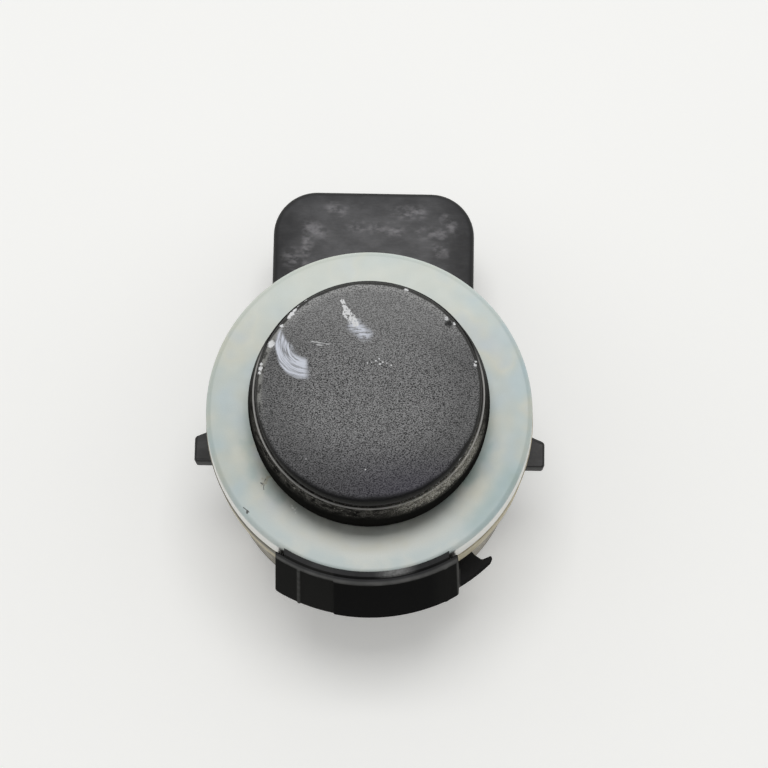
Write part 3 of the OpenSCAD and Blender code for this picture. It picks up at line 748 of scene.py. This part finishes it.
def scratched_paint():
    """Dark textured paint over aluminium, pimpled by the spray, with the scrapes, chips and specks that
    bare the metal. Light and
    shade are painted in: a painted highlight on the far rim, a lighter far side, a darker rim and near
    side, and painted shade on the near edge."""
    material, shader, place = new_finish("scratched_paint", {"IOR": 1.45, "Specular IOR Level": 0.1})
    x, y, _ = axes(place)
    r = radius(x, y)
    near = (0 - y / (r + 0.01)) | 0.0
    aslant = place.node("Mapping", {"vector_type": "POINT"}, {
        "Vector": place, "Rotation": (0.6, 0.4, 0.2), "Scale": (0.65, 1, 1)})
    grit = noise(aslant, 0.053, 1.0)
    pimples = noise(aslant, 0.07, 1.0)
    cloud = noise(aslant, 1.4, 4.0)
    torn = ragged(place, 0.35, 0.3)
    frayed = ragged(place, 0.15, 0.3)
    bent = ragged(place, 0.5, 0.16)
    top = face_z

    # The long scrape swings round a point: its lines run at even distance from it.
    bent_x, bent_y, _ = axes(bent)
    swing_x, swing_y = scrape_x - bent_x, scrape_y - bent_y
    reach = radius(swing_x, swing_y)
    turn = swing_x.math("ARCTAN2", swing_y, swing_x)
    low = rise(turn, 0.2, 1.2)
    track = reach.node("CombineXYZ", {}, {"X": reach, "Y": 0.12 * turn})
    lines = rise(noise(track, 0.1, 3.0), 0.34, 0.56)
    swept = (rise(reach + 0.85 * rise(turn, -0.65, 0.25), 1.6, 1.95)
             * rise(reach - 0.25 * low, 2.02, 1.88)
             * rise(turn, -0.62, -0.35) * rise(turn, 1.75, 1.45))
    solid = 0.32 + 0.38 * rise(reach, 1.2, 1.8) + 0.3 * low
    scrape = swept * (solid + (1 - solid) * lines) * (0.45 + 0.55 * lines)

    gash = strokes(torn, top, 0.35, (
        ((-1.78, 5.75), (-1.5, 5.1), 0.17), ((-1.45, 4.95), (-0.95, 4.3), 0.32)))
    smear = stroke(torn, (-0.95, 4.15, top), (-0.3, 3.6, top), 0.6, 0.8)
    ripples = rise(noise(place, 0.14, 2.0, (0.25, 1, 1)), 0.34, 0.52)
    hair = strokes(bent, top, 0.8, (
        ((-3.6, 3.08), (-2.5, 2.94), 0.06), ((-3.3, 2.9), (-2.85, 2.86), 0.05),
        ((-5.3, 4.1), (-4.75, 3.4), 0.06), ((-4.75, 4.5), (-4.55, 4.3), 0.07)))
    specks = any_of([spot(place, (*at, top), size) for *at, size in (
        (-0.1, 1.78, 0.06), (0.15, 1.83, 0.05), (0.42, 1.93, 0.07), (0.62, 2.05, 0.07),
        (0.68, 1.73, 0.09), (0.85, 1.85, 0.07), (1.1, 1.78, 0.05), (1.38, 1.65, 0.07),
        (-3.78, -4.31, 0.08), (-0.1, -4.9, 0.07))])
    bare = any_of([spot(frayed, (cx, cy, on_head(cx, cy)), 1.35 * size, 0.4)
                   for cx, cy, size, _ in chips])
    pit = spot(frayed, (dent[0], dent[1], on_head(*dent[:2])), 0.32, 0.5)

    holes = rise(noise(place, 0.18, 2.0), 0.4, 0.48)
    rubs = (((-6.4, 2.3), (-6.6, 2.0), 0.16), ((-6.55, 1.4), (-6.6, 1.1), 0.13),
            ((-6.75, 0.3), (-6.8, -0.1), 0.14), ((-6.75, -0.9), (-6.7, -1.4), 0.12),
            ((4.7, 4.7), (4.8, 4.5), 0.15), ((4.6, -0.7), (4.75, -0.9), 0.09))
    worn = any_of([stroke(frayed, (*start, on_head(*start)), (*end, on_head(*end)), half, 0.8)
                   for start, end, half in rubs])
    bluish = scrape | smear * (0.15 + 0.8 * ripples)
    white = any_of([gash * holes, bare, hair * 0.7, specks * 0.85])

    # Painted highlight along the far rim; on the left rim, wear with painted highlight.
    left_rim_wear_and_highlight = rise(r, 6.5, 6.8) * rise(x, -4, -6) * rise(y, -2, 0)
    far_rim_highlight = rise(r, 6.2, 6.7) * rise(y, 3, 6) * rise(grit, 0.4, 0.6)
    # Painted shade: a dark band on the near edge, widest at the front, and a dark line round the rim.
    near_edge_shade = rise(r + 0.42 * near + 0.4 * (cloud - 0.5), 6.86, 7.24) * rise(y, 0, -2.5)
    outline = rise(r + 0.12 * rise(y, 2, 6) + 0.3 * (cloud - 0.5), head_r - 0.2, head_r - 0.1)
    colour = blend(rise(grit, 0.3, 0.66), srgb(32, 32, 32), srgb(158, 158, 158))
    # Painted light and shade: the far side is made lighter, and the face darker towards its rim except at
    # the far side.
    colour = blend(rise(y, 1, 6) * 0.34, colour, srgb(154, 154, 153))
    colour = blend(rise(r, 3.0, 6.5) * rise(y, 5, 2) * 0.4, colour, srgb(68, 68, 68))
    colour = blend(left_rim_wear_and_highlight * 0.5, colour, srgb(170, 170, 164))
    colour = blend(far_rim_highlight * 0.5, colour, srgb(196, 196, 194))
    # Painted shade: the near side is made darker, a little blue towards the near middle.
    darker = colour.vector("MULTIPLY", colour, (0.36, 0.35, 0.39))
    colour = blend(rise(y, -1.5, -6.8) * 0.7, colour, darker)
    colour = blend(rise(y, -3, -6.5) * rise(x, -3, 3) * 0.2, colour, srgb(86, 81, 104))
    colour = blend(near_edge_shade, colour, srgb(28, 28, 29))
    colour = blend(outline * 0.9, colour, srgb(46, 46, 44))
    colour = blend(bluish, colour, srgb(222, 226, 236))
    colour = blend(pit * 0.9 | worn * 0.7, colour, srgb(28, 28, 28))
    colour = blend(white, colour, srgb(236, 237, 238))
    feed(shader, {
        "Base Color": colour,
        "Roughness": 0.5 + 0.1 * grit - 0.1 * bluish,
        "Normal": bump(pimples * (1 - bluish) + 0.6 * bluish * lines, 0.05),
    })
    return material


cup = shell("membrane_cup_painted", cup_grid(640))
fit(cup, scratched_paint(), "painted_cup", "membrane_cup")

# Decoupling sleeve: soft black silicone moulded round the cup, so that the housing doesn't ring with it.
# Its skirt stands out of the ring, its flange is clamped under the ring, and its floor holds the cup up.
skirt_r, skirt_top_r, neck_r, flange_r = 7.7, 7.32, 7.4, 9.5
skirt_low_z = ring_z + 1.15
sleeve_bore_r = 6.75
ring_t = 1.0
skirt_cone_z = skirt_low_z + 2.1
lip_r, lip_z = 7.2, head_z - 0.28


def sleeve_profile():
    """Section of the sleeve: a bead round the cup's head, the skirt with a soft chamfer, the neck in the
    ring, the flange under it, the foot, and the floor with the passage for the leads."""
    return rounded(
        [(sleeve_bore_r, cup_rim_z), (passage_r, cup_rim_z), (passage_r, boss_z), (boss_r, boss_z),
         (boss_r, ring_foot_z), (flange_r, ring_foot_z), (flange_r, ring_z - ring_t),
         (neck_r, ring_z - ring_t), (neck_r, skirt_low_z), (skirt_r, skirt_low_z),
         (skirt_r, skirt_cone_z), (skirt_top_r, head_z - 0.8),
         (lip_r + 0.07, lip_z - 0.04), (lip_r + 0.04, lip_z + 0.09), (lip_r - 0.04, lip_z + 0.09),
         (lip_r - 0.07, lip_z - 0.04), (sleeve_bore_r, lip_z - 0.04)],
        [0.1, 0.1, 0.1, 0.2, 0.1, 0.15, 0.15, 0.1, 0.15, 0.12, 1.5, 0.2, 0.02, 0.03, 0.03, 0.02, 0.02], 7)


def dusty_rubber():
    """Black silicone: matt, its lip painted pale as a highlight with some wear, grey dust below the lip,
    and a crust of road grit on the near right side."""
    material, shader, place = new_finish("dusty_rubber", {
        "IOR": 1.42, "Specular IOR Level": 0.0, "Coat Roughness": 0.5, "Coat IOR": 1.4})
    x, y, z = axes(place)
    bearing = x.math("ARCTAN2", y, x)
    grit = rise(noise(place, 0.09, 3.0), 0.42, 0.66)
    # Painted highlight with some wear: the lip is made pale, most on the near side.
    lip = rise(z, lip_z - 0.05, lip_z + 0.02) * rise(y, 3.5, 1.0)
    dust = rise(z, ring_z + 3.7, ring_z + 5.2) * rise(noise(place, 0.5, 4.0), 0.3, 0.65) * rise(y, 2, -3)
    crust = (rise(bearing, -1.5, -1.0) * rise(bearing, -0.1, -0.6) * rise(z, ring_z + 3.7, ring_z + 5.1)
             * rise(noise(place, 0.8, 4.0), 0.22, 0.55))
    specks = rise(noise(place, 0.22, 3.0), 0.66, 0.72) * rise(z, ring_z + 4, ring_z + 5.4) * rise(y, 0, -4)
    colour = blend(noise(place, 1.2, 3.0), srgb(20, 20, 19), srgb(34, 34, 32))
    colour = blend(dust * (0.2 + 0.8 * grit), colour, srgb(120, 118, 113))
    colour = blend(lip * (0.55 + 0.45 * rise(y, -6.5, -3)), colour, srgb(176, 175, 172))
    colour = blend(crust * (0.15 + 0.85 * grit), colour, srgb(190, 187, 175))
    colour = blend(specks * 0.8, colour, srgb(176, 174, 166))
    colour = blend(crust * rise(noise(place, 0.13, 2.0), 0.56, 0.64), colour, srgb(228, 226, 218))
    feed(shader, {
        "Base Color": colour,
        "Roughness": 0.6 + 0.2 * grit,
        "Coat Weight": 0.4 * rise(y, -1, 3),
        "Normal": bump(noise(place, 0.2, 3.0) + crust * grit, 0.02),
    })
    return material


sleeve = shell("decoupling_sleeve_rubber", spin(sleeve_profile(), 320), wrap_rows=True)
fit(sleeve, dusty_rubber(), "sleeve_rubber", "decoupling_sleeve")

# Seal ring: cream silicone, cut from tube and stacked between the deck and the ring, where it bulges a
# little under the clip's pull.
seal_r, seal_bore_r = 10.8, 8.4
seal_bulge = 0.05


def cream_silicone():
    """Cream silicone: slightly clouded, with painted shade along its top and bottom edges and a band of
    painted shade high on its left side, with the satin of moulded rubber.
    """
    material, shader, place = new_finish("cream_silicone", {"Roughness": 0.5, "IOR": 1.41})
    x, _, z = axes(place)
    shaded = rise(z, ring_foot_z - 1.9, ring_foot_z - 1.3) * rise(x, 0, -4)
    # Painted shade along the top and the bottom, where the seal meets the ring and the deck.
    painted_shade = any_of([rise(z, deck_z + 0.7, deck_z), rise(z, ring_foot_z - 0.5, ring_foot_z)])
    cloud = rise(noise(place, 0.8, 4.0), 0.35, 0.7)
    colour = blend(cloud, srgb(206, 196, 164), srgb(188, 176, 142))
    colour = blend(painted_shade * cloud * 0.6, colour, srgb(120, 108, 84))
    feed(shader, {
        "Base Color": blend(shaded * 0.8, colour, srgb(92, 88, 76)),
        "Normal": bump(noise(place, 0.3, 3.0), 0.02),
    })
    return material


seal_profile = rounded([(seal_bore_r, deck_z), (seal_r, deck_z),
                        (seal_r, ring_foot_z), (seal_bore_r, ring_foot_z)], 0.25)
seal_profile[:, 0] += np.where(seal_profile[:, 0] > 10, seal_bulge, 0) * np.sin(
    np.pi * np.clip((seal_profile[:, 1] - deck_z) / (ring_foot_z - deck_z), 0, 1))
seal = shell("seal_ring_silicone", spin(seal_profile, 256), wrap_rows=True)
fit(seal, cream_silicone(), "seal_rubber", "seal_ring")

# Steel ring: drawn from 1 mm sheet, its wall flaring a little, then zinc plated and passivated, which
# leaves faint rainbow tints. The clip's lip holds it down on the sleeve's flange.
ring_r, ring_flare = 10.6, 0.16
ring_bore_r, ring_wall_r = 7.5, 9.6


def passivated_zinc():
    """Satin zinc under its pale passivation film: grey-green with faint drifts of straw and blue, made
    lighter on the near and the far side as painted light, teal stains at the rim, a teal stain by the skirt
    that also carries painted shade, painted shade of the skirt at its near foot, a brown stain with dark
    twigs in it, a dark speck with a hair, and a brighter bare wall."""
    material, shader, place = new_finish("passivated_zinc", {"IOR": 1.5, "Specular IOR Level": 0.5})
    x, y, z = axes(place)
    r = radius(x, y)
    drift = noise(place, 3.6, 2.0)
    tint = drift.node("ValToRGB", {"stops": [
        (0.34, srgb(197, 211, 211)), (0.46, srgb(203, 212, 204)), (0.56, srgb(213, 216, 202)),
        (0.68, srgb(201, 211, 212))]}, {"Fac": drift}, "Color")
    torn = ragged(place, 1.0, 0.8)
    wet = strokes(torn, ring_z, 1.0, (
        ((-7.9, -2.4), (-7.3, -4.4), 0.65), ((-6.3, -5.2), (-5.7, -5.7), 0.6),
        ((7.85, -2.2), (7.6, -3.0), 0.5), ((6.9, -4.0), (6.4, -4.6), 0.55),
        ((9.3, -4.0), (7.0, -7.2), 1.1)))
    drifts = rise(noise(place, 2.2, 3.0), 0.3, 0.6)
    rim = rise(r, 9.0, 10.0) * drifts * (rise(y, 3, -4) | rise(x, 3, 8))
    straw = rise(r, 7.9, 8.6) * rise(r, 9.5, 8.9) * (1 - drifts) * rise(y, 2, -5)
    # Teal stain by the skirt that also carries painted shade of the skirt on the ring.
    skirt_stain_and_shade = (rise(r, 8.4, 7.7) * rise(noise(place, 1.6, 3.0), 0.35, 0.6)
                * rise(y, 1, -2) * rise(y, -7.5, -5))
    # Painted shade: the skirt's shadow on the ring at its near foot.
    painted_shade = rise(r, 8.9, 7.8) * rise(y, -2, -5.5) * (0.5 + 0.5 * drifts)
    frayed = ragged(place, 0.25, 0.9)
    stain = stroke(frayed, (-6.5, -4.45, ring_z), (-6.75, -4.95, ring_z), 0.26, 1.0)
    twigs = strokes(ragged(place, 0.3, 0.3), ring_z, 0.6, (
        ((-6.62, -4.55), (-6.75, -5.0), 0.05), ((-6.75, -5.0), (-6.7, -5.3), 0.05),
        ((-6.9, -4.8), (-6.72, -4.95), 0.05)))
    speck = any_of([twigs, spot(torn, (-7.62, -6.74, ring_z), 0.16),
                    stroke(place, (-7.62, -6.74, ring_z), (-7.98, -6.45, ring_z), 0.04)])
    flake = spot(frayed, (-4.79, -6.4, ring_z), 0.2)
    satin = noise(place, 0.1, 2.0)
    brushed = noise(place, 0.8, 3.0)
    wall = rise(z, ring_z - 0.25, ring_z - 0.45) * rise(r, ring_r - 0.3, ring_r - 0.1)
    # Painted light: the near and the far side of the ring are made lighter.
    colour = blend(rise(y, -4, -9), tint, srgb(232, 236, 228))
    colour = blend(rise(y, 4, 8) * 0.5, colour, srgb(222, 229, 222))
    colour = blend(satin, colour.vector("MULTIPLY", colour, (0.93, 0.93, 0.93)), colour)
    colour = blend(wet * 0.5, colour, srgb(150, 182, 178))
    colour = blend(rim * 0.4, colour, srgb(182, 208, 216))
    colour = blend(straw * 0.5, colour, srgb(228, 226, 206))
    colour = blend(skirt_stain_and_shade * 0.45, colour, srgb(150, 178, 168))
    colour = blend(painted_shade * 0.5, colour, srgb(128, 130, 122))
    colour = blend(stain * 0.6, colour, srgb(150, 140, 96))
    colour = blend(flake * 0.7, colour, srgb(240, 242, 236))
    colour = blend(speck, colour, srgb(40, 46, 42))
    colour = blend(wall, colour, srgb(226, 226, 222))
    feed(shader, {
        "Base Color": colour,
        "Metallic": 0.85 * wall,
        "Roughness": 0.3 + 0.1 * brushed + 0.05 * satin,
        "Normal": bump(satin + brushed, 0.003),
    })
    return material


ring_profile = rounded(
    [(ring_bore_r, ring_z), (ring_bore_r, ring_z - ring_t), (ring_wall_r, ring_z - ring_t),
     (ring_wall_r, ring_foot_z), (ring_r + ring_flare, ring_foot_z), (ring_r, ring_z)],
    [0.12, 0.05, 0.3, 0.1, 0.15, 0.36], 8)
ring = shell("steel_ring_plated", spin(ring_profile, 320), wrap_rows=True)
fit(ring, passivated_zinc(), "plated_steel", "steel_ring")

# Potting: black casting resin poured into the open rear last of all. It seals the board in, and as it
# sets it creeps up the wall and leaves a shallow meniscus.
potting_top = levels("potting")[1]
potting_r = cavity_r - 0.05
meniscus = 0.35


def black_resin():
    """Set resin: near black, glossy, with faint flow clouds and a few dimples where bubbles burst."""
    material, shader, place = new_finish("black_resin", {"IOR": 1.55})
    cells = place.node("TexVoronoi", {}, {"Vector": place, "Scale": 0.5}, "Distance")
    dimple = rise(cells, 0.16, 0.05)
    flow = noise(place, 2.2, 3.0)
    feed(shader, {
        "Base Color": blend(flow, srgb(14, 13, 12), srgb(30, 28, 26)),
        "Roughness": 0.18 + 0.15 * flow,
        "Normal": bump(flow * 0.6 - dimple, 0.08),
    })
    return material


reach = np.linspace(0, 1, 25)
rear = np.stack([potting_r * reach, meniscus * (1 - reach**6)], axis=1)
potting_profile = np.concatenate([rear, rounded(
    [(potting_r, rear[-1, 1]), (potting_r, potting_top), (0, potting_top)], [0, 0.1, 0])[1:]])
potting = shell("potting_resin_cast", spin(potting_profile, 128))
fit(potting, black_resin(), "potting_resin", "potting")

# Studio: a plain pale table that glows a little of its own, so that shadows on it stay pale, in a room that
# is dark on the viewer's side, a softbox above and a little behind the sensor, and a long lens that looks
# down on the face, a little towards the connector.
floor_half = 1.5


def pale_table():
    """Plain matt white board that glows a little of its own, which keeps shadows on it pale."""
    # The table glows a little of its own, so that shadows on it stay pale.
    material, shader, place = new_finish("pale_table", {
        "Specular IOR Level": 0.0, "Emission Color": srgb(255, 255, 252), "Emission Strength": 0.24})
    feed(shader, {
        "Base Color": blend(noise(place, 40.0), srgb(242, 242, 240), srgb(245, 245, 243)),
        "Roughness": 0.7 + 0.1 * noise(place, 5.0),
    })
    return material


table_mesh = bpy.data.meshes.new("table")
table_mesh.from_pydata([(-floor_half, -floor_half, 0), (floor_half, -floor_half, 0),
                        (floor_half, floor_half, 0), (-floor_half, floor_half, 0)], [], [(0, 1, 2, 3)])
table_mesh.materials.append(pale_table())
table = bpy.data.objects.new("table", table_mesh)
bpy.context.scene.collection.objects.link(table)

lamp_wide, lamp_long = 260, 132
lamp_high, lamp_back = 600, 129
lamp_watts = 1.33
lamp = bpy.data.lights.new("softbox", "AREA")
lamp.shape = "RECTANGLE"
lamp.size, lamp.size_y = lamp_wide * mm, lamp_long * mm
lamp.energy = lamp_watts
softbox = bpy.data.objects.new("softbox", lamp)
softbox.location = (0, lamp_back * mm, lamp_high * mm)
softbox.rotation_euler = (-math.atan2(lamp_back, lamp_high), 0, 0)
bpy.context.scene.collection.objects.link(softbox)

world = bpy.data.worlds.new("studio")
world.use_nodes = True
sky = world.node_tree.nodes.new("ShaderNodeTexCoord")
toward = axes(Field(sky.outputs["Generated"]))
room = world.node_tree.nodes["Background"]
room.inputs["Color"].default_value = (1.0, 1.0, 1.0, 1.0)
feed(room, {"Strength": 0.05 + 0.5 * rise(toward[1], -0.6, 0.0)})
bpy.context.scene.world = world
bpy.context.scene.view_settings.view_transform = "Standard"

# The lens stands at lens_gap from the ring's front along its axis, turned lens_side degrees towards +X.
# The ring's centre lies at ring_px in the picture, seen lens_tilt degrees above the table.
picture = 768
lens_px = 2467.2
lens_gap = 160.0
lens_tilt = 80.4
lens_side = 1.0
ring_px = np.array([369.25, 410.85])
slip = (ring_px - picture / 2) / lens_px
elevation = math.radians(lens_tilt) - math.atan(slip[1])
side = math.radians(lens_side)
back = np.array([math.sin(side) * math.cos(elevation), -math.cos(side) * math.cos(elevation),
                 math.sin(elevation)])
right = np.array([math.cos(side), math.sin(side), 0])
up = np.cross(back, right)
eye = np.array([0, 0, ring_z]) + lens_gap * (back - right * slip[0] + up * slip[1])

lens = bpy.data.cameras.new("camera")
lens.sensor_width = 36
lens.lens = lens.sensor_width * lens_px / picture
lens.clip_start, lens.clip_end = 0.01, 10
camera = bpy.data.objects.new("camera", lens)
bpy.context.scene.collection.objects.link(camera)
pose = np.eye(4)
pose[:3, :4] = np.stack([right, up, back, eye * mm], axis=1)
camera.matrix_world = pose.T.tolist()
bpy.context.scene.camera = camera
